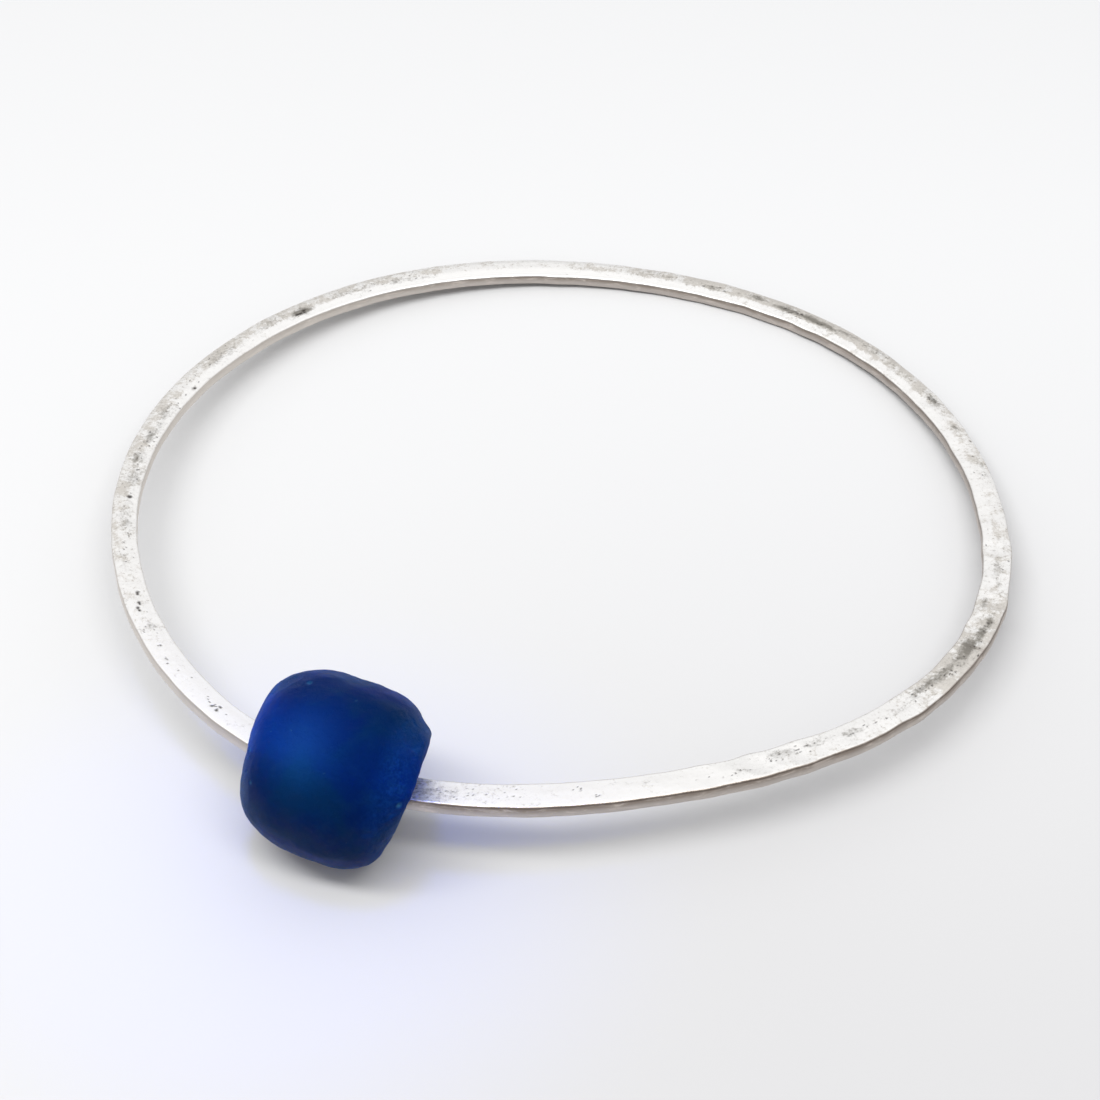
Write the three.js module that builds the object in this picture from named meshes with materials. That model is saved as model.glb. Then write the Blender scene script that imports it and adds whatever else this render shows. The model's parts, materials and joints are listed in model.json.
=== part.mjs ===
// A hand-hammered silver bangle with one loose glass bead, lying on a flat surface.
//
// The bangle is a round wire that was bent into a loop, soldered closed and hammered flat, so its
// wide face looks up and it is slightly out of round. The bead is a short lumpy barrel of frosted
// glass, threaded on before the loop was closed. The bead stands on the surface and carries the
// wire, so the loop leans: high at the bead, and touching the surface on the far side.
//
// Millimetres, +Z up. The origin is below the middle of the object's box, on the surface.
// Azimuths are in degrees, anticlockwise from +X seen from above.

import * as THREE from 'three';

const DEGREES = Math.PI / 180;

// ---- driving dimensions -------------------------------------------------------------------

const loopRadius = 33.7;           // middle of the wire to the middle of the loop, on average
const loopLobes = [                // how far the loop bulges out of round: lobes, height, azimuth
  { lobes: 1, height: 0.42, azimuth: -45 },
  { lobes: 3, height: 0.47, azimuth: -9.6 },
  { lobes: 4, height: 0.37, azimuth: 56.8 },
  { lobes: 5, height: 0.20, azimuth: 34.9 },
];

const wireWidth = 2.1;             // across the hammered face, on average
const wireWidthSwell = 0.22;       // wider on two opposite stretches, narrower between them
const wireWidthSwellAzimuth = 100;
const wireThickness = 1.05;        // top face to bottom face, on average
const wireEdgeRadius = 0.26;       // rounded long edges
const wireSteps = 210;             // sections along the wire

const hammerBlows = 61;            // overlapping blows all the way round
const hammerDepth = 0.06;          // how deep one blow dents the top face
const hammerSpread = 0.05;         // how far one blow pushes each edge out

const seamAzimuth = 332;           // where the two ends of the wire meet
const seamLength = 0.35;           // along the wire
const seamSwell = 1.03;            // the solder stands a little proud of the wire

const beadAzimuth = 244.9;
const beadOffset = 34.1;           // middle of the bead to the middle of the loop
const beadRadius = 6.55;
const beadHalfLength = 6.05;
const beadEndRoundness = 2.65;     // 2 is an ellipse, larger is squarer
const beadSideRoundness = 3.75;
const beadLumps = [                // how uneven the barrel is: lobes, share of the radius, azimuth, twist
  { lobes: 2, height: 0.006, azimuth: 93, twist: 0.05 },
  { lobes: 3, height: 0.008, azimuth: -2, twist: -0.09 },
];
const beadRightEndTilt = { outward: 0.24, upward: 0.35 };   // neither end is cut square
const beadLeftEndTilt = { outward: 0.10, upward: 0.06 };
const beadSides = 52;

const boreWaistRadius = 2.75;      // the bore is narrowest half way
const boreMouthRadius = 3.1;
const boreLipRadius = 0.45;
const boreSteps = 8;
const boreShift = { outward: -0.5, upward: 0.65 };          // the bore isn't central in the bead

const wireBelowBore = 0.8;         // middle of the wire below the middle of the bore

// ---- where the loop lies ------------------------------------------------------------------

const beadShape = beadGeometry();
beadShape.computeBoundingBox();
const beadMiddleHeight = -beadShape.boundingBox.min.z;
const wireHeightAtBead = beadMiddleHeight + boreShift.upward - wireBelowBore;
const loopSpan = loopRadius + bulge(beadAzimuth * DEGREES) + farEdgeRadius();
const lean = Math.asin((wireHeightAtBead - wireThickness / 2) / loopSpan);

function bulge(azimuth) {
  let sum = 0;
  for (const lobe of loopLobes) {
    sum += lobe.height * Math.cos(lobe.lobes * (azimuth - lobe.azimuth * DEGREES));
  }
  return sum;
}

function farEdgeRadius() {
  const far = (beadAzimuth - 180) * DEGREES;
  return loopRadius + bulge(far) + widthAt(far) / 2;
}

// ---- the wire -----------------------------------------------------------------------------

function widthAt(azimuth) {
  return wireWidth + wireWidthSwell * Math.cos(2 * (azimuth - wireWidthSwellAzimuth * DEGREES));
}

// Each blow leaves a shallow dish that is deepest in its middle; neighbours differ in strength.
function blowAt(azimuth) {
  const place = azimuth / (2 * Math.PI) * hammerBlows + 0.35 * Math.sin(7 * azimuth);
  const blow = Math.round(place);
  const fromMiddle = 2 * (place - blow);
  const strength = 0.6 + 0.4 * Math.sin(2.4 * blow);
  return strength * (1 - fromMiddle * fromMiddle);
}

// The middle line of the wire, in the loop's own plane, from one azimuth to another.
class LoopLine extends THREE.Curve {
  constructor(from, to) {
    super();
    this.from = from;
    this.to = to;
  }

  getPoint(t, target = new THREE.Vector3()) {
    const azimuth = this.from + (this.to - this.from) * t;
    const radius = loopRadius + bulge(azimuth);
    return target.set(radius * Math.cos(azimuth), radius * Math.sin(azimuth), 0);
  }
}

// A flat strip with rounded edges. The extrusion turns its x across the loop's plane and its y
// along the radius.
function wireSection() {
  const halfThickness = wireThickness / 2;
  const halfWidth = wireWidth / 2;
  const edge = wireEdgeRadius;
  const section = new THREE.Shape();
  section.moveTo(halfThickness, halfWidth - edge);
  section.quadraticCurveTo(halfThickness, halfWidth, halfThickness - edge, halfWidth);
  section.lineTo(edge - halfThickness, halfWidth);
  section.quadraticCurveTo(-halfThickness, halfWidth, -halfThickness, halfWidth - edge);
  section.lineTo(-halfThickness, edge - halfWidth);
  section.quadraticCurveTo(-halfThickness, -halfWidth, edge - halfThickness, -halfWidth);
  section.lineTo(halfThickness - edge, -halfWidth);
  section.quadraticCurveTo(halfThickness, -halfWidth, halfThickness, edge - halfWidth);
  section.closePath();
  return section;
}

// Widens, flattens and dents the plain strip as hammering does.
function hammer(geometry, swell) {
  const positions = geometry.attributes.position;
  const point = new THREE.Vector3();
  for (let i = 0; i < positions.count; i += 1) {
    point.fromBufferAttribute(positions, i);
    const azimuth = Math.atan2(point.y, point.x);
    const middle = loopRadius + bulge(azimuth);
    const blow = blowAt(azimuth);
    const width = (widthAt(azimuth) + 2 * hammerSpread * blow) / wireWidth;
    const radius = middle + (Math.hypot(point.x, point.y) - middle) * width * swell;
    const dent = point.z > 0 ? hammerDepth * blow : 0;
    positions.setXYZ(i, radius * Math.cos(azimuth), radius * Math.sin(azimuth), point.z * swell - dent);
  }
  return geometry;
}

function strip(from, to, steps, swell) {
  const geometry = new THREE.ExtrudeGeometry(wireSection(), {
    steps,
    curveSegments: 2,
    extrudePath: new LoopLine(from, to),
  });
  return hammer(geometry, swell);
}

// ---- the bead -----------------------------------------------------------------------------

// Half of a section through the bead, as a closed outline: out over the barrel from the left
// mouth to the right one, and back along the bore. x is the distance from the bore's middle
// line, and y runs along it.
function beadOutline() {
  const points = [];
  const skinSteps = 22;
  const mouth = Math.asin(Math.pow((boreMouthRadius + boreLipRadius) / beadRadius, beadSideRoundness / 2));
  for (let i = 0; i <= skinSteps; i += 1) {
    const angle = mouth + (Math.PI - 2 * mouth) * i / skinSteps;
    const along = -Math.sign(Math.cos(angle)) * Math.pow(Math.abs(Math.cos(angle)), 2 / beadEndRoundness);
    const out = Math.pow(Math.sin(angle), 2 / beadSideRoundness);
    points.push(new THREE.Vector2(beadRadius * out, beadHalfLength * along));
  }
  const mouthDistance = points[skinSteps].y - boreLipRadius;
  for (let i = 0; i <= boreSteps; i += 1) {
    const along = 1 - 2 * i / boreSteps;
    const radius = boreWaistRadius + (boreMouthRadius - boreWaistRadius) * along * along;
    points.push(new THREE.Vector2(radius, mouthDistance * along));
  }
  points.push(points[0].clone());
  return points;
}

// Moves the bore off centre, tilts the two ends and makes the barrel lumpy.
function beadGeometry() {
  const geometry = new THREE.LatheGeometry(beadOutline(), beadSides);
  const positions = geometry.attributes.position;
  for (let i = 0; i < positions.count; i += 1) {
    const outward = positions.getX(i);
    const along = positions.getY(i);
    const upward = positions.getZ(i);
    const radius = Math.hypot(outward, upward);
    const angle = Math.atan2(upward, outward);
    const skin = THREE.MathUtils.smoothstep(radius, boreMouthRadius, beadRadius - 1);
    let lump = 1;
    for (const lobe of beadLumps) {
      const turned = angle - lobe.azimuth * DEGREES - lobe.twist * along;
      lump += skin * lobe.height * Math.cos(lobe.lobes * turned);
    }
    const share = along / beadHalfLength;
    const tilt = along > 0 ? beadRightEndTilt : beadLeftEndTilt;
    const end = share * share * (tilt.outward * outward + tilt.upward * upward);
    positions.setXYZ(
      i,
      outward * lump + (1 - skin) * boreShift.outward,
      along + end,
      upward * lump + (1 - skin) * boreShift.upward,
    );
  }
  return geometry;
}

// ---- materials and assembly ---------------------------------------------------------------

function silver(name, color, roughness) {
  return new THREE.MeshStandardMaterial({ name, color, roughness, metalness: 1 });
}

const silverMaterial = silver('hammered_silver', 0xd9d6d1, 0.42);
const solderMaterial = silver('silver_solder', 0xbfbab2, 0.5);
const glassMaterial = new THREE.MeshStandardMaterial({
  name: 'frosted_cobalt_glass',
  color: 0x10308c,
  roughness: 0.62,
  metalness: 0,
});

const seamHalfAngle = seamLength / 2 / (loopRadius + bulge(seamAzimuth * DEGREES));
const seamStart = seamAzimuth * DEGREES - seamHalfAngle;
const seamEnd = seamAzimuth * DEGREES + seamHalfAngle;

const wire = new THREE.Mesh(strip(seamEnd, seamStart + 2 * Math.PI, wireSteps, 1), silverMaterial);
wire.name = 'bangle_wire';

const seam = new THREE.Mesh(strip(seamStart, seamEnd, 2, seamSwell), solderMaterial);
seam.name = 'solder_seam';

// The loop lies in its own plane, which is turned about a level line so that it rises at the bead.
const bangle = new THREE.Group();
const risingAzimuth = beadAzimuth * DEGREES;
const levelLine = new THREE.Vector3(Math.sin(risingAzimuth), -Math.cos(risingAzimuth), 0);
bangle.setRotationFromAxisAngle(levelLine, lean);
bangle.add(wire, seam);
bangle.position.z = -new THREE.Box3().setFromObject(bangle, true).min.z;

// The bead's own x points away from the loop's middle, y along the wire and z up.
const bead = new THREE.Mesh(beadShape, glassMaterial);
bead.name = 'glass_bead';
bead.rotation.z = risingAzimuth;
bead.position.set(
  beadOffset * Math.cos(risingAzimuth),
  beadOffset * Math.sin(risingAzimuth),
  beadMiddleHeight,
);

const bracelet = new THREE.Group();
bracelet.name = 'bangle_bracelet';
bracelet.add(bangle, bead);

const box = new THREE.Box3().setFromObject(bracelet, true);
const middle = box.getCenter(new THREE.Vector3());
bracelet.position.set(-middle.x, -middle.y, -box.min.z);

export default bracelet;
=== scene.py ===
"""A hand-hammered silver bangle with one loose bead of frosted cobalt-blue glass, on a pale floor.

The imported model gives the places: the loop's middle and its lean come from the joint, and the wire's
and the bead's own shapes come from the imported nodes. Both are then rebuilt as fine meshes, with the
hammer marks, pits, lumps and chips that the plain solids leave out.

Lengths are in metres, and names that end in _mm hold millimetres. Azimuths are in degrees in the
loop's own plane, anticlockwise from +X seen from above.
"""

import json
import math

import bmesh
import bpy
import numpy as np
from mathutils import Matrix, Vector, noise


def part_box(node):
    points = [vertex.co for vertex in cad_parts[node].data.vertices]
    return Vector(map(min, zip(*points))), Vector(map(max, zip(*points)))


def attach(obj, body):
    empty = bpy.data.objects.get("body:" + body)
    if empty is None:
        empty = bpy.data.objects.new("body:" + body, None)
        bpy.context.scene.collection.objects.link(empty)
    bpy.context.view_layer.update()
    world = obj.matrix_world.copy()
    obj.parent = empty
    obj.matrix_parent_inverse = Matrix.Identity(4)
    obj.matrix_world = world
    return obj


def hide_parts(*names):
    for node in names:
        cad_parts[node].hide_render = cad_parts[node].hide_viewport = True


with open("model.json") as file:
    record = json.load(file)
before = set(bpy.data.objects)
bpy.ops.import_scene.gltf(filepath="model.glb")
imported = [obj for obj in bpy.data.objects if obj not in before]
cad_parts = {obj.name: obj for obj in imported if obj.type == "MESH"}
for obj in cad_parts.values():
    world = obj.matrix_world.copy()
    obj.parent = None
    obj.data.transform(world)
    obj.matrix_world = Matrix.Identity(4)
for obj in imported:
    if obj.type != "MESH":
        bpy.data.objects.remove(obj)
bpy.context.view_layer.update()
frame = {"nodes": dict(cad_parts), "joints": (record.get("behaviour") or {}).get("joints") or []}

MM = 0.001
TAU = 2 * math.pi

JOINT = frame["joints"][0]
LOOP_MIDDLE = np.array(JOINT["pos_m"])
LOOP_AXIS = np.array(JOINT["axis"]) / np.linalg.norm(JOINT["axis"])
LOOP_EAST = np.array([1.0, 0.0, 0.0]) - LOOP_AXIS * LOOP_AXIS[0]
LOOP_EAST /= np.linalg.norm(LOOP_EAST)
LOOP_NORTH = np.cross(LOOP_AXIS, LOOP_EAST)


# ---- helpers ------------------------------------------------------------------------------


def node_points(name):
    """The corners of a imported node, as rows of x, y, z in metres."""
    return np.array([v.co for v in frame["nodes"][name].data.vertices], float)


def to_loop(points):
    """Points of the frame as azimuth in radians, distance from the loop's axis and height, in mm."""
    offset = (points - LOOP_MIDDLE) / MM
    east, north = offset @ LOOP_EAST, offset @ LOOP_NORTH
    return np.arctan2(north, east), np.hypot(east, north), offset @ LOOP_AXIS


def from_loop(azimuth, radius, height):
    """The reverse of to_loop."""
    east = (radius * np.cos(azimuth))[..., None] * LOOP_EAST
    north = (radius * np.sin(azimuth))[..., None] * LOOP_NORTH
    return LOOP_MIDDLE + MM * (east + north + height[..., None] * LOOP_AXIS)


def smooth_step(value, low, high):
    """From 0 at low to 1 at high, smoothly. High may lie below low."""
    share = np.clip((value - low) / (high - low), 0, 1)
    return share * share * (3 - 2 * share)


def turn_between(azimuth, other):
    """The signed angle from other to azimuth, in radians, from -pi to pi."""
    return (azimuth - other + math.pi) % TAU - math.pi


def noise_at(points, scale, seed=0.0):
    """Smooth noise from about -1 to 1 at each row of points, with features about scale long."""
    shift = Vector((seed, -2.3 * seed, 1.7 * seed))
    return np.array([noise.noise(Vector(p) / scale + shift) for p in points])


def new_mesh(name, corners, faces, smooth=True):
    """A new object with the given corners and faces."""
    mesh = bpy.data.meshes.new(name)
    mesh.from_pydata(corners.tolist(), [], faces)
    mesh.validate()
    mesh.update()
    mesh.polygons.foreach_set("use_smooth", [smooth] * len(mesh.polygons))
    piece = bpy.data.objects.new(name, mesh)
    bpy.context.scene.collection.objects.link(piece)
    return piece


def store(piece, name, values):
    """Keeps one number for each corner of the mesh, for its material to read."""
    attribute = piece.data.attributes.new(name, "FLOAT", "POINT")
    attribute.data.foreach_set("value", np.asarray(values, np.float32))


# ---- the wire's measured shape ------------------------------------------------------------

MEASURE_BINS = 120
BIN_HALF_WIDTH = 0.62              # in bins, so that neighbours overlap a little
KEPT_WAVES = 12


def measured_wire():
    """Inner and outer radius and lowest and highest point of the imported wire, round the loop."""
    azimuth, radius, height = to_loop(node_points("bangle_wire"))
    place = (azimuth % TAU) / TAU * MEASURE_BINS
    rows = []
    for k in range(MEASURE_BINS):
        away = np.abs((place - k + MEASURE_BINS / 2) % MEASURE_BINS - MEASURE_BINS / 2)
        near = away < BIN_HALF_WIDTH
        rows.append([radius[near].min(), radius[near].max(), height[near].min(), height[near].max()])
    waves = np.fft.rfft(np.array(rows), axis=0)
    waves[KEPT_WAVES:] = 0
    return waves / MEASURE_BINS


WIRE_WAVES = measured_wire()


def wire_at(azimuth):
    """Inner radius, outer radius, lowest and highest point of the smooth wire at each azimuth."""
    k = np.arange(KEPT_WAVES)
    turns = np.exp(1j * np.outer(azimuth, k))
    share = np.where(k == 0, 1, 2)
    return (turns @ (WIRE_WAVES[:KEPT_WAVES] * share[:, None])).real.T


MEAN_RADIUS_MM = float(WIRE_WAVES[0, :2].real.mean())


# ---- hammering ----------------------------------------------------------------------------

BLOW_SPACING_MM = 2.3
BLOW_REACH_MM = 4.0                # no blow marks the face further along than this
BLOW_SPREAD_MM = 1.1               # how far along a blow pushes the edges out
DENT_SHARE = 0.75                  # of a blow's full depth

# The deepest marks: azimuth, place across, dish radius and depth in mm.
HARD_BLOWS = (
    (296.5, -0.1, 5.0, 0.15),
    (302, 0.1, 5.5, 0.13),
    (341.5, 0.3, 4.5, 0.15),
    (335.5, -0.4, 6.0, 0.1),
    (318, 0.2, 8.0, 0.09),
    (352, -0.2, 7.0, 0.1),
    (289.5, 0.0, 9.0, 0.08),
    (66, 0.1, 7.0, 0.08),
    (26, 0.3, 6.0, 0.1),
)

# How hard the wire was hammered: azimuth and strength.
BLOW_STRENGTH = (
    (0, 0.9),
    (60, 0.8),
    (90, 0.6),
    (130, 0.45),
    (200, 0.3),
    (250, 0.3),
    (278, 0.4),
    (292, 1.1),
    (316, 1.0),
    (345, 1.2),
    (360, 0.9),
)


def share_at(table, azimuth):
    """A number from a table of azimuths, joined by straight stretches."""
    places, values = zip(*table)
    return np.interp(np.degrees(azimuth) % 360, places, values)


def hammer_blows():
    """Each blow: place along the wire and across it, dish radius, depth and slopes, in mm."""
    draw = np.random.RandomState(11)
    around = TAU * MEAN_RADIUS_MM
    count = int(around / BLOW_SPACING_MM)
    blows = []
    for k in range(count):
        along = (k + draw.uniform(-0.42, 0.42)) * around / count
        strength = float(share_at(BLOW_STRENGTH, along / MEAN_RADIUS_MM))
        blows.append([
            along,
            draw.uniform(-0.7, 0.7),
            draw.uniform(9, 24),
            draw.uniform(0.02, 0.065) * strength,
            draw.normal(0, 0.035) * strength,
            draw.normal(0, 0.012) * strength,
        ])
    for azimuth, side, dish, deep in HARD_BLOWS:
        blows.append([math.radians(azimuth) * MEAN_RADIUS_MM, side, dish, deep, 0.0, 0.0])
    return np.array(blows)


BLOWS = hammer_blows()


def dents(azimuth, across):
    """How far the hammered face lies below a flat one, in mm, at each azimuth and place across."""
    depth = np.zeros(np.broadcast(azimuth, across).shape)
    for along, side, dish, deep, slope_across, slope_along in BLOWS:
        ahead = turn_between(azimuth, along / MEAN_RADIUS_MM) * MEAN_RADIUS_MM
        near = np.abs(ahead) < BLOW_REACH_MM
        off = across - side
        dent = deep - (ahead**2 + off**2) / (2 * dish) - slope_across * off - slope_along * ahead
        depth = np.where(near, np.maximum(depth, dent), depth)
    return depth


def spread(azimuth, side):
    """How far the blows pushed one edge out: side is 1 for the outer edge and -1 for the inner."""
    push = np.zeros_like(azimuth)
    for along, place, _, deep, _, _ in BLOWS:
        ahead = turn_between(azimuth, along / MEAN_RADIUS_MM) * MEAN_RADIUS_MM
        push += deep * (0.75 + 0.9 * side * place) * np.exp(-((ahead / BLOW_SPREAD_MM) ** 2))
    return push


# ---- pits, blotches, painted shade and tarnish --------------------------------------------

# Groups of pits: azimuth, place across, how many, spread along and across and largest radius, in mm.
PIT_GROUPS = (
    (181, -0.25, 1, 0.0, 0.0, 0.25),
    (179, 0.0, 8, 2.2, 0.5, 0.08),
    (190, 0.0, 16, 4.0, 0.6, 0.08),
    (202, -0.15, 3, 0.3, 0.05, 0.2),
    (204, 0.0, 3, 0.35, 0.05, 0.18),
    (205.5, 0.2, 3, 0.3, 0.06, 0.2),
    (208, 0.1, 12, 1.2, 0.4, 0.08),
    (213, 0.1, 2, 0.2, 0.1, 0.1),
    (216, 0.25, 5, 1.4, 0.2, 0.09),
    (221, 0.1, 3, 1.4, 0.5, 0.07),
    (226, 0.1, 13, 0.8, 0.25, 0.15),
    (229, 0.0, 3, 0.4, 0.2, 0.08),
    (170, -0.2, 20, 4.0, 0.6, 0.1),
    (159, -0.3, 12, 3.0, 0.6, 0.1),
    (154, -0.7, 1, 0.0, 0.0, 0.16),
    (147, 0.1, 8, 4.0, 0.6, 0.09),
    (130, -0.2, 7, 0.6, 0.2, 0.22),
    (112, 0.0, 6, 4.0, 0.6, 0.09),
    (66, 0.1, 6, 1.5, 0.4, 0.12),
    (52, 0.2, 14, 3.0, 0.35, 0.15),
    (26, 0.35, 6, 0.8, 0.3, 0.15),
    (10, 0.3, 6, 4.0, 0.6, 0.1),
    (352, 0.0, 7, 3.0, 0.6, 0.09),
    (337, 0.4, 7, 1.0, 0.3, 0.13),
    (332, 0.1, 9, 1.6, 0.5, 0.13),
    (331, 0.95, 2, 0.2, 0.05, 0.14),
    (326, 0.1, 9, 1.6, 0.5, 0.12),
    (321, -0.3, 8, 1.6, 0.4, 0.11),
    (311, 0.0, 10, 3.0, 0.5, 0.1),
    (303, -0.4, 16, 1.6, 0.3, 0.09),
    (299, -0.3, 14, 1.0, 0.35, 0.08),
    (294, 0.3, 8, 1.2, 0.4, 0.09),
    (289, 0.0, 5, 1.2, 0.5, 0.08),
    (276, 0.4, 6, 0.4, 0.2, 0.09),
    (274, -0.4, 8, 0.6, 0.25, 0.08),
    (265, 0.1, 16, 2.0, 0.6, 0.06),
    (259, 0.0, 26, 2.2, 0.7, 0.07),
    (255, 0.0, 16, 0.8, 0.7, 0.08),
)


def pits():
    """Each pit: azimuth in radians, place across and radius in mm, and how stretched it is."""
    draw = np.random.RandomState(5)
    rows = []
    for azimuth, across, count, along_mm, across_mm, largest in PIT_GROUPS:
        for _ in range(count):
            turn = math.radians(azimuth) + draw.normal(0, 0.5) * along_mm / MEAN_RADIUS_MM
            side = across + draw.normal(0, 0.6) * across_mm
            size = largest * (1 if count == 1 else draw.uniform(0.35, 1.0))
            rows.append([turn, side, size, draw.uniform(0.7, 2.2)])
    return np.array(rows)


PITS = pits()

# Dark blotches, and painted shade where the wire leaves the bead: azimuth, place across, half their length
# and breadth in mm, and how dark they are.
BLOTCHES_AND_SHADE = (
    (67, 0.1, 0.9, 0.3, 0.55),
    (60, 0.4, 1.0, 0.3, 0.75),
    (55, 0.2, 1.3, 0.3, 0.95),
    (50.5, 0.2, 1.9, 0.35, 1.0),
    (45, 0.5, 1.2, 0.25, 0.6),
    (38, 0.5, 3.0, 0.35, 0.4),
    (26, 0.4, 0.9, 0.3, 0.8),
    (19, 0.4, 0.5, 0.25, 0.6),
    (10, 0.6, 1.4, 0.3, 0.35),
    (130, -0.15, 0.8, 0.32, 1.4),
    (136, 0.2, 2.4, 0.5, 0.4),
    (121, 0.1, 2.4, 0.4, 0.42),
    (113, -0.2, 2.4, 0.3, 0.42),
    (76, 0.2, 2.6, 0.4, 0.3),
    (145, 0.0, 2.4, 0.5, 0.35),
    (154, -0.6, 0.4, 0.2, 0.7),
    (162, -0.2, 1.8, 0.5, 0.5),
    (167, -0.2, 1.1, 0.5, 0.55),
    (172, -0.1, 1.2, 0.6, 0.5),
    (177, -0.2, 1.2, 0.6, 0.5),
    (185, -0.2, 2.4, 0.6, 0.42),
    (195, 0.1, 1.6, 0.5, 0.3),
    (209, 0.1, 0.6, 0.4, 0.4),
    (316, 0.1, 1.3, 0.3, 0.3),
    (322, -0.3, 1.3, 0.3, 0.75),
    (326, -0.1, 1.6, 0.35, 0.85),
    (331, 0.0, 2.0, 0.5, 1.0),
    (334.5, 0.25, 1.2, 0.35, 0.85),
    (337.5, 0.4, 0.8, 0.3, 0.85),
    (341, -0.45, 0.7, 0.2, 0.65),
    (348, 0.1, 1.8, 0.4, 0.35),
    (309, 0.0, 1.4, 0.4, 0.35),
    (305, -0.4, 1.1, 0.3, 0.55),
    (300, -0.4, 1.1, 0.35, 0.55),
    (294, 0.3, 0.7, 0.3, 0.3),
    # The next two rows are painted shade on the wire where it leaves the bead.
    (253.6, 0.1, 0.9, 0.9, 1.1),
    (256, 0.0, 0.8, 0.8, 0.5),
    (259, 0.2, 1.8, 0.5, 0.3),
)

# How tarnished the hammered face is as a whole: azimuth and share.
TARNISH = (
    (0, 0.3),
    (20, 0.35),
    (34, 0.6),
    (55, 0.8),
    (75, 0.5),
    (92, 0.05),
    (104, 0.15),
    (118, 0.4),
    (130, 0.5),
    (150, 0.38),
    (172, 0.5),
    (190, 0.4),
    (215, 0.15),
    (235, 0.05),
    (252, 0.3),
    (262, 0.25),
    (275, 0.1),
    (290, 0.1),
    (300, 0.3),
    (316, 0.3),
    (328, 0.9),
    (338, 0.75),
    (345, 0.42),
    (360, 0.3),
)

# How brown the wire's sides are: azimuth and share.
SIDE_TARNISH = (
    (0, 0.9),
    (60, 1.0),
    (95, 1.0),
    (125, 0.6),
    (155, 0.3),
    (215, 0.3),
    (240, 0.6),
    (258, 1.0),
    (300, 1.0),
    (360, 0.9),
)


def blotches_and_shade(azimuth, across):
    """How dark each point is made by the dark marks and by the painted shade by the bead, from 0 up."""
    dark = np.zeros(np.broadcast(azimuth, across).shape)
    for place, side, half_length, half_breadth, strength in BLOTCHES_AND_SHADE:
        ahead = turn_between(azimuth, math.radians(place)) * MEAN_RADIUS_MM / half_length
        aside = (across - side) / half_breadth
        dark = np.maximum(dark, strength * np.exp(-0.7 * (ahead**2 + aside**2)))
    return dark


# ---- the fine strip of wire ---------------------------------------------------------------

EDGE_MM = 0.13                     # rounding of the long edges
FACE_STEPS = 24                    # across the hammered face
SIDE_STEPS = 9
CORNER_STEPS = 4
PIT_DEPTH_MM = 0.05
PIT_REACH = 3                      # in radii, how far along a pit is looked for
GRAIN_SIZE_MM = 0.35
GRAIN_HEIGHT_MM = 0.006
FAR_AZIMUTH = 95                   # the middle of the far side as the photograph shows it


def section(width, thickness):
    """A flat strip's outline with rounded corners: rows of across and up, in mm."""
    half_w, half_t, edge = width / 2, thickness / 2, EDGE_MM
    points = []

    def straight(start, end, steps):
        for k in range(1, steps):
            points.append(np.array(start) + (np.array(end) - np.array(start)) * k / steps)

    def corner(x, y, from_angle):
        for k in range(CORNER_STEPS + 1):
            angle = from_angle + math.pi / 2 * k / CORNER_STEPS
            points.append(np.array([x + edge * math.cos(angle), y + edge * math.sin(angle)]))

    corner(half_w - edge, half_t - edge, 0)
    straight((half_w - edge, half_t), (edge - half_w, half_t), FACE_STEPS)
    corner(edge - half_w, half_t - edge, math.pi / 2)
    straight((-half_w, half_t - edge), (-half_w, edge - half_t), SIDE_STEPS)
    corner(edge - half_w, edge - half_t, math.pi)
    straight((edge - half_w, -half_t), (half_w - edge, -half_t), FACE_STEPS)
    corner(half_w - edge, edge - half_t, 1.5 * math.pi)
    straight((half_w, edge - half_t), (half_w, half_t - edge), SIDE_STEPS)
    return np.array(points)


def sharpen_caps(piece, count):
    """Keeps the last faces of a piece flat, with sharp edges."""
    build = bmesh.new()
    build.from_mesh(piece.data)
    build.faces.ensure_lookup_table()
    for face in build.faces[-count:]:
        face.smooth = False
        for edge in face.edges:
            edge.smooth = False
    build.to_mesh(piece.data)
    build.free()


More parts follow.
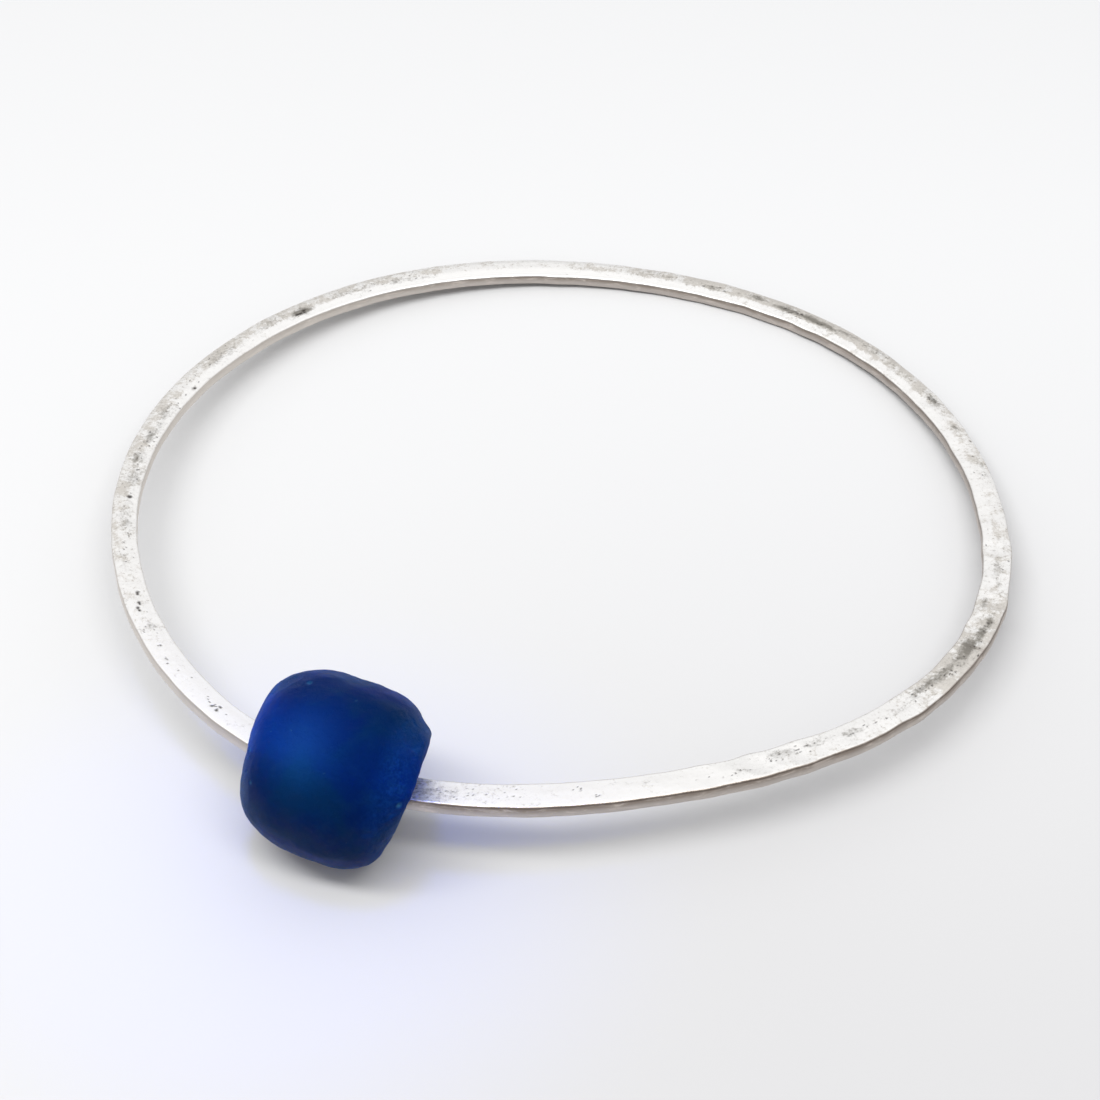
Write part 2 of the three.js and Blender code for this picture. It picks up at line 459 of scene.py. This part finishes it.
def strip_of_wire(name, start, end, steps, swell=0.0):
    """A closed length of hammered wire from one azimuth to another, in radians."""
    azimuths = np.linspace(start, end, steps + 1)
    inner, outer, bottom, top = wire_at(azimuths)
    width, thickness = outer - inner, top - bottom
    middle, level = (outer + inner) / 2, (top + bottom) / 2
    outline = section(width.mean(), thickness.mean())
    across = (outline[:, 0] / (width.mean() / 2))[None, :]      # -1 at the inner edge, 1 at the outer
    up = (outline[:, 1] / (thickness.mean() / 2))[None, :]
    a = azimuths[:, None]
    u = across * (width / 2)[:, None]
    v = up * (thickness / 2)[:, None]

    # Sideways: the blows push the edges out unevenly, and the wire itself wanders a little.
    ring = np.stack([np.cos(azimuths), np.sin(azimuths), 0 * azimuths], 1) * MEAN_RADIUS_MM
    wander = 0.05 * noise_at(ring, 4.0, 3.1) + 0.016 * noise_at(ring, 1.3, 8.4)
    outer_edge = spread(azimuths, 1) + 0.04 * noise_at(ring, 2.1, 5.5)
    inner_edge = spread(azimuths, -1) + 0.035 * noise_at(ring, 1.9, 9.5)
    edge_push = np.where(across > 0, outer_edge[:, None], -inner_edge[:, None])
    u = u + np.abs(across) ** 1.5 * edge_push + wander[:, None]

    # Up and down: dents on the hammered face, slopes down to its long edges, and a soft anvil side.
    dent = dents(a, u)
    upper = smooth_step(up, -0.2, 0.75)
    far_side = 0.5 + 0.5 * np.cos(a - math.radians(FAR_AZIMUTH))
    inward = smooth_step(-across, 0.0, 1.0) * (0.05 + 0.08 * far_side)
    outward = smooth_step(across, 0.45, 1.0) * (0.015 + 0.07 * far_side)
    anvil = 0.03 * noise_at(ring, 2.6, 1.2)[:, None] * (1 - upper)
    v = v - upper * (DENT_SHARE * dent + inward + outward) + anvil

    # Pits: small sharp holes that hold dark tarnish.
    pit = np.zeros_like(u)
    for turn, side, radius, stretch in PITS:
        ahead = turn_between(azimuths, turn) * MEAN_RADIUS_MM
        rows = np.nonzero(np.abs(ahead) < PIT_REACH * radius)[0]
        if len(rows):
            longways = ahead[rows, None] / stretch**0.5
            sideways = (u[rows] - side) * stretch**0.5
            far = np.hypot(longways, sideways) / radius
            pit[rows] = np.maximum(pit[rows], (1 - smooth_step(far, 0.45, 1.15)) * (up > 0.5))
    v = v - PIT_DEPTH_MM * pit

    u = u * (1 + swell)
    v = v * (1 + swell)
    corners = from_loop(np.broadcast_to(a, u.shape), middle[:, None] + u, level[:, None] + v)
    grain = noise_at((corners / MM).reshape(-1, 3), GRAIN_SIZE_MM, 2.0).reshape(u.shape)
    v = v + GRAIN_HEIGHT_MM * grain
    corners = from_loop(np.broadcast_to(a, u.shape), middle[:, None] + u, level[:, None] + v)

    around = outline.shape[0]
    faces = []
    for i in range(steps):
        for k in range(around):
            n = (k + 1) % around
            faces.append((i * around + k, (i + 1) * around + k, (i + 1) * around + n, i * around + n))
    faces.append(tuple(range(around)))
    faces.append(tuple(reversed(range(steps * around, (steps + 1) * around))))
    piece = new_mesh(name, corners.reshape(-1, 3), faces)
    sharpen_caps(piece, 2)

    # What the material reads: where the side begins, how tarnished the face is, and the marks on it.
    # At the front the side's brown reaches up over the rounded top edge: painted shade that dims the lamp's
    # highlight on that edge.
    front = 0.5 - 0.5 * np.sin(a)
    side = 1 - smooth_step(up, 0.62 + 0.335 * front, 0.97 + 0.029 * front)
    inner_slope = smooth_step(-across, 0.05, 0.4) * far_side
    # On the far side the face gets more film and its inner slope less, so there the inner slope shows
    # lighter than the face.
    film = share_at(TARNISH, a) * (1 - 0.7 * inner_slope) + 0.25 * far_side * (1 - inner_slope)
    store(piece, "along", np.broadcast_to(a * MEAN_RADIUS_MM, u.shape).ravel())
    store(piece, "across", u.ravel())
    store(piece, "rise", np.broadcast_to(up, u.shape).ravel())
    store(piece, "tarnish", film.ravel())
    store(piece, "blotch_and_shade", (blotches_and_shade(a, u / (width / 2)[:, None]) * (1 - side)).ravel())
    store(piece, "pit", pit.ravel())
    store(piece, "side", np.broadcast_to(side, u.shape).ravel())
    store(piece, "brown", np.broadcast_to(share_at(SIDE_TARNISH, a), u.shape).ravel())
    return piece


# ---- the bead -----------------------------------------------------------------------------

BEAD_SUBDIVISIONS = 3
BORE_SHIFT_MM = (-0.5, 0.65)       # outward and upward: where the bore's middle line lies in the bead
BUBBLES = 90
BUBBLE_DEPTH = 0.55                # share of its radius
CHIP_DEPTH_MM = 0.16
END_SHAPING_MM = 0.42              # how far the two ends are pushed out or in at most
MARK_MM = 0.08                     # a mark this deep is fully pale
PICTURE_LEVEL = (0.74, 0.61)       # how far up a point shows: share of its height, and of its inwardness


def bead_axes():
    """The bead's middle, and unit vectors along the bore and away from the loop's middle."""
    low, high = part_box("glass_bead")
    middle = np.array((low + high) / 2)
    outward = middle - LOOP_MIDDLE
    outward[2] = 0
    outward /= np.linalg.norm(outward)
    along = np.cross([0.0, 0.0, 1.0], outward)
    return middle, along, outward


def fine_bead(name):
    """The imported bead, subdivided smoothly, then made lumpy, pitted and chipped at its ends."""
    source = frame["nodes"]["glass_bead"]
    build = bmesh.new()
    build.from_mesh(source.data)
    bmesh.ops.remove_doubles(build, verts=build.verts, dist=1e-6)
    bmesh.ops.join_triangles(build, faces=build.faces, angle_face_threshold=0.7, angle_shape_threshold=0.9)
    mesh = bpy.data.meshes.new(name)
    build.to_mesh(mesh)
    build.free()
    piece = bpy.data.objects.new(name, mesh)
    bpy.context.scene.collection.objects.link(piece)
    modifier = piece.modifiers.new("fine", "SUBSURF")
    modifier.levels = modifier.render_levels = BEAD_SUBDIVISIONS
    fine = bpy.data.meshes.new_from_object(piece.evaluated_get(bpy.context.evaluated_depsgraph_get()))
    piece.modifiers.clear()
    piece.data = fine
    bpy.data.meshes.remove(mesh)

    corners = np.array([v.co for v in fine.vertices], float)
    normals = np.array([v.normal for v in fine.vertices], float)
    middle, along, outward = bead_axes()
    offset = (corners - middle) / MM
    lengthwise = offset @ along
    bore_distance = np.hypot(offset @ outward - BORE_SHIFT_MM[0], offset[:, 2] - BORE_SHIFT_MM[1])
    skin = smooth_step(bore_distance, 3.1, 4.4)
    lumps = 0.16 * noise_at(offset, 4.2, 0.7)
    lumps += 0.09 * noise_at(offset, 1.7, 4.2)
    lumps += 0.028 * noise_at(offset, 0.6, 6.0)
    draw = np.random.RandomState(3)
    bubbles = np.zeros(len(corners))
    for _ in range(BUBBLES):
        centre = corners[draw.randint(len(corners))] / MM
        radius = 0.07 + 0.22 * draw.uniform() ** 3
        far = np.linalg.norm(corners / MM - centre, axis=1) / radius
        bubbles = np.maximum(bubbles, radius * BUBBLE_DEPTH * (1 - smooth_step(far, 0.0, 1.0)))
    rim = smooth_step(np.abs(lengthwise), 4.2, 5.6)
    chips = np.clip(noise_at(offset, 0.5, 12.0) - 0.25, 0, None) * CHIP_DEPTH_MM * rim

    # The ends aren't cut square: each is pushed out or in by how high the place shows in the photograph.
    level = PICTURE_LEVEL[0] * offset[:, 2] - PICTURE_LEVEL[1] * (offset @ outward)
    right = np.exp(-(((level - 1.5) / 2.2) ** 2)) - 0.9 * np.exp(-(((level - 4.7) / 1.1) ** 2))
    right = right - 0.4 * np.exp(-(((level + 3.4) / 1.5) ** 2))
    right = right * smooth_step(lengthwise, 3.0, 5.4)
    left = smooth_step(-lengthwise, 3.4, 5.6) * np.exp(-(((offset[:, 2] + 1.5) / 3.2) ** 2))
    ends = (END_SHAPING_MM * right - END_SHAPING_MM * left) * skin
    rises = (lumps - bubbles - chips) * skin
    moved = corners + (ends[:, None] * along + normals * rises[:, None]) * MM
    fine.vertices.foreach_set("co", moved.astype(np.float32).ravel())
    fine.update()
    fine.polygons.foreach_set("use_smooth", [True] * len(fine.polygons))
    store(piece, "bubble", np.clip(bubbles / MARK_MM, 0, 1) * skin)
    store(piece, "chip", np.clip(chips / MARK_MM, 0, 1) * skin)
    store(piece, "frost", skin * rim)
    # A painted glow: a pale patch high on the outer face, a little off the middle along the bore, standing
    # in for light that shines through the glass.
    from_glow_middle = np.hypot(lengthwise + 0.8, level - 1.9) / 2.6
    painted_glow = np.exp(-(from_glow_middle**2)) * smooth_step(offset @ outward + offset[:, 2], 2.0, 5.0)
    store(piece, "painted_glow", painted_glow * skin)
    return piece


# ---- materials ----------------------------------------------------------------------------


class Nodes:
    """A short way to write a material's nodes."""

    def __init__(self, name):
        self.material = bpy.data.materials.new(name)
        self.material.use_nodes = True
        self.tree = self.material.node_tree
        self.tree.nodes.clear()
        self.output = self.tree.nodes.new("ShaderNodeOutputMaterial")

    def add(self, kind, inputs=None, **settings):
        """A new shader node, with its settings, and with a value or a link in each named input."""
        node = self.tree.nodes.new("ShaderNode" + kind)
        for key, value in settings.items():
            setattr(node, key, value)
        for key, value in (inputs or {}).items():
            self.put(node, key, value)
        return node

    def put(self, node, key, value):
        socket = node.inputs[key]
        if isinstance(value, bpy.types.NodeSocket):
            self.tree.links.new(value, socket)
        else:
            socket.default_value = value

    def noise(self, vector, scale, detail=3.0, roughness=0.55, distortion=0.0):
        inputs = {"Vector": vector, "Scale": scale, "Detail": detail, "Roughness": roughness,
                  "Distortion": distortion}
        return self.add("TexNoise", inputs).outputs["Fac"]

    def ramp(self, value, low, high):
        """value taken from low..high to 0..1, smoothly and clamped."""
        node = self.add("MapRange", {"Value": value, "From Min": low, "From Max": high},
                        interpolation_type="SMOOTHSTEP")
        return node.outputs["Result"]

    def math(self, operation, a, b=0.0, clamp=False):
        node = self.add("Math", operation=operation, use_clamp=clamp)
        self.put(node, 0, a)
        self.put(node, 1, b)
        return node.outputs[0]

    def mix(self, share, a, b):
        node = self.add("Mix", data_type="RGBA")
        self.put(node, 0, share)
        for index, value in ((6, a), (7, b)):
            self.put(node, index, value if isinstance(value, bpy.types.NodeSocket) else (*value, 1.0))
        return node.outputs[2]

    def stored(self, name):
        return self.add("Attribute", attribute_name=name).outputs["Fac"]

    def place(self, stretch=(1.0, 1.0, 1.0)):
        """The point on the piece, in millimetres."""
        where = self.add("TexCoord").outputs["Object"]
        scale = [s / MM for s in stretch]
        return self.add("Mapping", {"Vector": where, "Scale": scale}).outputs["Vector"]


def silver_material(name, white, film_colour, roughness):
    """Hammered silver: near-white raised metal, a thin beige film, dark pits, brown-grey sides, and painted
    shade on the front top edge.
    """
    nodes = Nodes(name)
    place = nodes.place()
    tarnish, blotch_and_shade, pit = nodes.stored("tarnish"), nodes.stored("blotch_and_shade"), nodes.stored("pit")
    side, rise = nodes.stored("side"), nodes.stored("rise")
    strip = nodes.add("CombineXYZ", {
        "X": nodes.math("MULTIPLY", nodes.stored("along"), 0.42),
        "Y": nodes.stored("across"),
        "Z": rise,
    }).outputs["Vector"]

    cloud = nodes.noise(place, 0.7, 4.0, 0.62, 0.4)
    streak = nodes.noise(strip, 1.5, 5.0, 0.68, 0.5)
    speck = nodes.noise(place, 3.4, 4.0, 0.7)
    scratch = nodes.noise(place, 9.0, 3.0, 0.7)
    crackle = nodes.math("ABSOLUTE", nodes.math("SUBTRACT", nodes.noise(place, 2.3, 5.0, 0.75), 0.5))

    mottle = nodes.math("ADD", nodes.math("MULTIPLY", cloud, 0.6), nodes.math("MULTIPLY", speck, 0.4))
    threshold = nodes.math("SUBTRACT", 0.63, nodes.math("MULTIPLY", tarnish, 0.3))
    film = nodes.ramp(nodes.math("SUBTRACT", mottle, threshold), -0.03, 0.13)
    lines = nodes.math("MULTIPLY", nodes.ramp(crackle, 0.03, 0.004), nodes.math("MULTIPLY", tarnish, 0.8))
    uneven = nodes.math("ADD", nodes.math("MULTIPLY", streak, 1.3), nodes.math("MULTIPLY", speck, 0.9))
    # These dark marks include the painted shade where the wire leaves the bead.
    dark = nodes.math("ADD", nodes.math("MULTIPLY", blotch_and_shade, 0.85), nodes.math("SUBTRACT", uneven, 1.1))
    dark = nodes.ramp(dark, 0.1, 0.8)
    grime = nodes.math("MULTIPLY", nodes.ramp(speck, 0.56, 0.7), nodes.math("MULTIPLY", tarnish, 0.8))

    colour = nodes.mix(nodes.math("MULTIPLY", film, 0.8), white, film_colour)
    colour = nodes.mix(nodes.math("MULTIPLY", lines, 0.5), colour, (0.38, 0.36, 0.33))
    colour = nodes.mix(grime, colour, (0.4, 0.37, 0.33))
    colour = nodes.mix(nodes.math("MULTIPLY", dark, 0.9), colour, (0.22, 0.205, 0.18))
    low = nodes.ramp(rise, 0.5, -0.6)
    brown = nodes.mix(low, (0.28, 0.235, 0.2), (0.48, 0.44, 0.41))
    brown = nodes.mix(nodes.ramp(streak, 0.45, 0.75), brown, (0.62, 0.56, 0.51))
    # A darker band on the side, just under the top edge.
    under_edge_band = nodes.math("MULTIPLY", nodes.ramp(rise, 0.45, 0.7), nodes.ramp(rise, 0.95, 0.75))
    brown = nodes.mix(nodes.math("MULTIPLY", under_edge_band, 0.75), brown, (0.12, 0.095, 0.08))
    brown = nodes.mix(nodes.stored("brown"), (0.72, 0.68, 0.63), brown)
    # The sides' brown; at the front it also covers the rounded top edge as painted shade.
    colour = nodes.mix(side, colour, brown)
    colour = nodes.mix(nodes.math("MULTIPLY", pit, 0.92), colour, (0.05, 0.042, 0.038))

    rough = nodes.math("ADD", roughness, nodes.math("MULTIPLY", film, 0.14))
    rough = nodes.math("ADD", rough, nodes.math("MULTIPLY", dark, 0.12))
    rough = nodes.math("ADD", rough, nodes.math("MULTIPLY", nodes.math("SUBTRACT", scratch, 0.5), 0.22))
    height = nodes.math("ADD", nodes.math("MULTIPLY", speck, 0.6), nodes.math("MULTIPLY", scratch, 0.25))
    height = nodes.math("SUBTRACT", height, nodes.math("MULTIPLY", dark, 0.25))
    bump = nodes.add("Bump", {"Strength": 0.4, "Distance": 0.03 * MM, "Height": height})
    shader = nodes.add("BsdfPrincipled", {
        "Base Color": colour,
        "Metallic": 1.0,
        "Roughness": rough,
        "Normal": bump.outputs["Normal"],
    })
    nodes.put(nodes.output, "Surface", shader.outputs["BSDF"])
    return nodes.material


def glass_material():
    """Frosted cobalt glass: light goes in and is absorbed, the frosted, chipped and pitted skin is a little
    paler, and so is a painted glow high on the outer face.
    """
    nodes = Nodes("frosted_cobalt_glass")
    place = nodes.place()
    broad = nodes.noise(place, 0.18, 3.0, 0.5, 0.6)
    cloud = nodes.noise(place, 0.8, 4.0, 0.6)
    grain = nodes.noise(place, 7.0, 4.0, 0.75)
    scuff = nodes.ramp(cloud, 0.5, 0.75)
    bubble = nodes.stored("bubble")
    chip = nodes.stored("chip")
    fleck = nodes.ramp(nodes.noise(place, 4.2, 2.0, 0.6), 0.7, 0.76)
    frost = nodes.math("MULTIPLY", nodes.stored("frost"), nodes.ramp(grain, 0.42, 0.62))
    pale = nodes.math("ADD", nodes.math("MULTIPLY", frost, 0.24), nodes.math("MULTIPLY", fleck, 0.22))
    pale = nodes.math("ADD", pale, nodes.math("MULTIPLY", chip, 0.12))
    pale = nodes.math("ADD", pale, nodes.math("MULTIPLY", bubble, 0.2))
    # The painted glow of light through the glass, high on the outer face, adds to the paleness here.
    pale = nodes.math("ADD", pale, nodes.math("MULTIPLY", nodes.stored("painted_glow"), 0.3), clamp=True)
    colour = nodes.mix(nodes.ramp(broad, 0.35, 0.65), (0.01, 0.19, 0.75), (0.01, 0.12, 0.85))
    colour = nodes.mix(nodes.math("MULTIPLY", scuff, 0.4), colour, (0.03, 0.26, 0.9))
    colour = nodes.mix(pale, colour, (0.05, 0.32, 0.9))
    colour = nodes.mix(bubble, colour, (0.1, 0.45, 0.95))
    rough = nodes.math("ADD", 0.46, nodes.math("MULTIPLY", scuff, 0.1))
    rough = nodes.math("ADD", rough, nodes.math("MULTIPLY", pale, 0.15))
    dimples = nodes.noise(place, 2.4, 4.0, 0.65)
    height = nodes.math("ADD", nodes.math("MULTIPLY", grain, 0.3), nodes.math("MULTIPLY", dimples, 0.7))
    bump = nodes.add("Bump", {"Strength": 0.9, "Distance": 0.14 * MM, "Height": height})
    facing = nodes.add("LayerWeight", {"Blend": 0.5}).outputs["Facing"]
    patchy = nodes.math("ADD", 0.02, nodes.math("MULTIPLY", nodes.ramp(dimples, 0.35, 0.65), 0.12))
    edge = nodes.math("MULTIPLY", nodes.ramp(facing, 0.45, 0.95), patchy)
    through = nodes.math("SUBTRACT", nodes.math("SUBTRACT", 0.945, edge), nodes.math("MULTIPLY", pale, 0.28))
    shader = nodes.add("BsdfPrincipled", {
        "Base Color": colour,
        "Roughness": rough,
        "IOR": 1.14,
        "Transmission Weight": through,
        "Specular Tint": (0.03, 0.25, 1.0, 1.0),
        "Normal": bump.outputs["Normal"],
    })
    absorb = nodes.add("VolumeAbsorption", {"Color": (0.0, 0.79, 0.845, 1.0), "Density": 3300.0})
    nodes.put(nodes.output, "Surface", shader.outputs["BSDF"])
    nodes.put(nodes.output, "Volume", absorb.outputs["Volume"])
    return nodes.material


def floor_material():
    """A pale floor with painted shade: a little darker near the camera and to its right, where the light
    falls off.
    """
    nodes = Nodes("pale_floor")
    place = nodes.place()
    cloud = nodes.noise(place, 0.02, 2.0)
    split = nodes.add("SeparateXYZ", {"Vector": place}).outputs
    # Painted shade: the floor's colour darkens towards the camera and to the right, standing in for light
    # that falls off there.
    near_right = nodes.mix(cloud, (0.444, 0.441, 0.444), (0.45, 0.447, 0.45))
    near = nodes.mix(nodes.ramp(split["X"], 20.0, -60.0), near_right, (0.525, 0.525, 0.527))
    colour = nodes.mix(nodes.ramp(split["Y"], -75.0, 50.0), near, (0.57, 0.57, 0.57))
    shader = nodes.add("BsdfPrincipled", {"Base Color": colour, "Roughness": 0.9, "Specular IOR Level": 0.1})
    nodes.put(nodes.output, "Surface", shader.outputs["BSDF"])
    return nodes.material


# ---- pieces -------------------------------------------------------------------------------

SILVER = silver_material("hammered_silver", (0.95, 0.935, 0.91), (0.6, 0.565, 0.515), 0.42)
SOLDER = silver_material("silver_solder", (0.8, 0.78, 0.75), (0.5, 0.46, 0.42), 0.5)
GLASS = glass_material()

seam_azimuth, _, _ = to_loop(node_points("solder_seam"))
seam_start, seam_end = float(seam_azimuth.min() % TAU), float(seam_azimuth.max() % TAU)

WIRE_STEPS = 1900
SEAM_STEPS = 8

wire = strip_of_wire("wire_hammered", seam_end, seam_start + TAU, WIRE_STEPS)
wire.data.materials.append(SILVER)
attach(wire, "bangle")
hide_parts("bangle_wire")

seam = strip_of_wire("seam_of_solder", seam_start, seam_end, SEAM_STEPS, 0.006)
seam.data.materials.append(SOLDER)
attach(seam, "bangle")
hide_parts("solder_seam")

bead = fine_bead("bead_of_glass")
bead.data.materials.append(GLASS)
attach(bead, "bead")
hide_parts("glass_bead")


# ---- floor, light and camera --------------------------------------------------------------

FLOOR_HALF = 1.6
GLOW_POWER = 0.75
GLOW_COLOUR = (0.02, 0.14, 1.0)
GLOW_ANGLE = math.radians(13)
GLOW_HEIGHT = 0.12


def make_floor():
    """One large flat sheet at height 0."""
    corners = np.array([[x, y, 0.0] for x, y in ((-1, -1), (1, -1), (1, 1), (-1, 1))]) * FLOOR_HALF
    floor = new_mesh("floor", corners, [(0, 1, 2, 3)], smooth=False)
    floor.data.materials.append(floor_material())


def area_light(name, place, size, power):
    """A soft rectangular lamp that looks at the middle of the floor."""
    light = bpy.data.lights.new(name, "AREA")
    light.shape = "RECTANGLE"
    light.size, light.size_y = size
    light.energy = power
    lamp = bpy.data.objects.new(name, light)
    lamp.location = place
    lamp.rotation_mode = "QUATERNION"
    lamp.rotation_quaternion = (-Vector(place)).to_track_quat("-Z", "Y")
    bpy.context.scene.collection.objects.link(lamp)


def blue_glow(place):
    """The faint blue light that the bead throws round itself, as one soft lamp pointing down."""
    light = bpy.data.lights.new("blue_glow", "SPOT")
    light.energy = GLOW_POWER
    light.color = GLOW_COLOUR
    light.spot_size = GLOW_ANGLE
    light.spot_blend = 1.0
    light.shadow_soft_size = 0.02
    lamp = bpy.data.objects.new("blue_glow", light)
    lamp.location = place
    bpy.context.scene.collection.objects.link(lamp)


def make_light():
    """Soft white light from all round, brighter from above, with one long lamp over the front."""
    world = bpy.data.worlds.new("soft_white")
    world.use_nodes = True
    tree = world.node_tree
    background = tree.nodes["Background"]
    background.inputs["Color"].default_value = (0.98, 0.985, 1.0, 1.0)
    direction = tree.nodes.new("ShaderNodeTexCoord").outputs["Generated"]
    split = tree.nodes.new("ShaderNodeSeparateXYZ")
    tree.links.new(direction, split.inputs[0])
    rise = tree.nodes.new("ShaderNodeMapRange")
    for key, value in (("From Min", 0.05), ("From Max", 0.6), ("To Min", 0.53), ("To Max", 1.03)):
        rise.inputs[key].default_value = value
    tree.links.new(split.outputs["Z"], rise.inputs["Value"])
    tree.links.new(rise.outputs["Result"], background.inputs["Strength"])
    bpy.context.scene.world = world
    area_light("overhead", (-0.05, -0.2, 0.5), (0.7, 0.1), 3.1)
    bead_low, bead_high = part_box("glass_bead")
    bead_middle = (bead_low + bead_high) / 2
    blue_glow((bead_middle[0] - 0.003, bead_middle[1] - 0.005, GLOW_HEIGHT))


CAMERA_AIM = Vector((-0.8, 0.62, 0.0)) * MM
CAMERA_DISTANCE = 0.242
CAMERA_AZIMUTH = math.radians(-1.92)
CAMERA_ELEVATION = math.radians(42.4)
CAMERA_ROLL = math.radians(-1.62)
CAMERA_LENS = 101.6


def make_camera():
    """The camera at the photograph's angle."""
    back = Vector((
        math.sin(CAMERA_AZIMUTH) * -math.cos(CAMERA_ELEVATION),
        -math.cos(CAMERA_AZIMUTH) * math.cos(CAMERA_ELEVATION),
        math.sin(CAMERA_ELEVATION),
    ))
    camera = bpy.data.objects.new("camera", bpy.data.cameras.new("camera"))
    camera.data.sensor_width = 36.0
    camera.data.lens = CAMERA_LENS
    camera.data.clip_start = 0.01
    camera.data.clip_end = 10.0
    camera.rotation_mode = "QUATERNION"
    camera.location = CAMERA_AIM + back * CAMERA_DISTANCE
    level = (-back).to_track_quat("-Z", "Y")
    camera.rotation_quaternion = level @ Matrix.Rotation(CAMERA_ROLL, 3, "Z").to_quaternion()
    bpy.context.scene.collection.objects.link(camera)
    bpy.context.scene.camera = camera


make_floor()
make_light()
make_camera()
bpy.context.scene.view_settings.view_transform = "Standard"
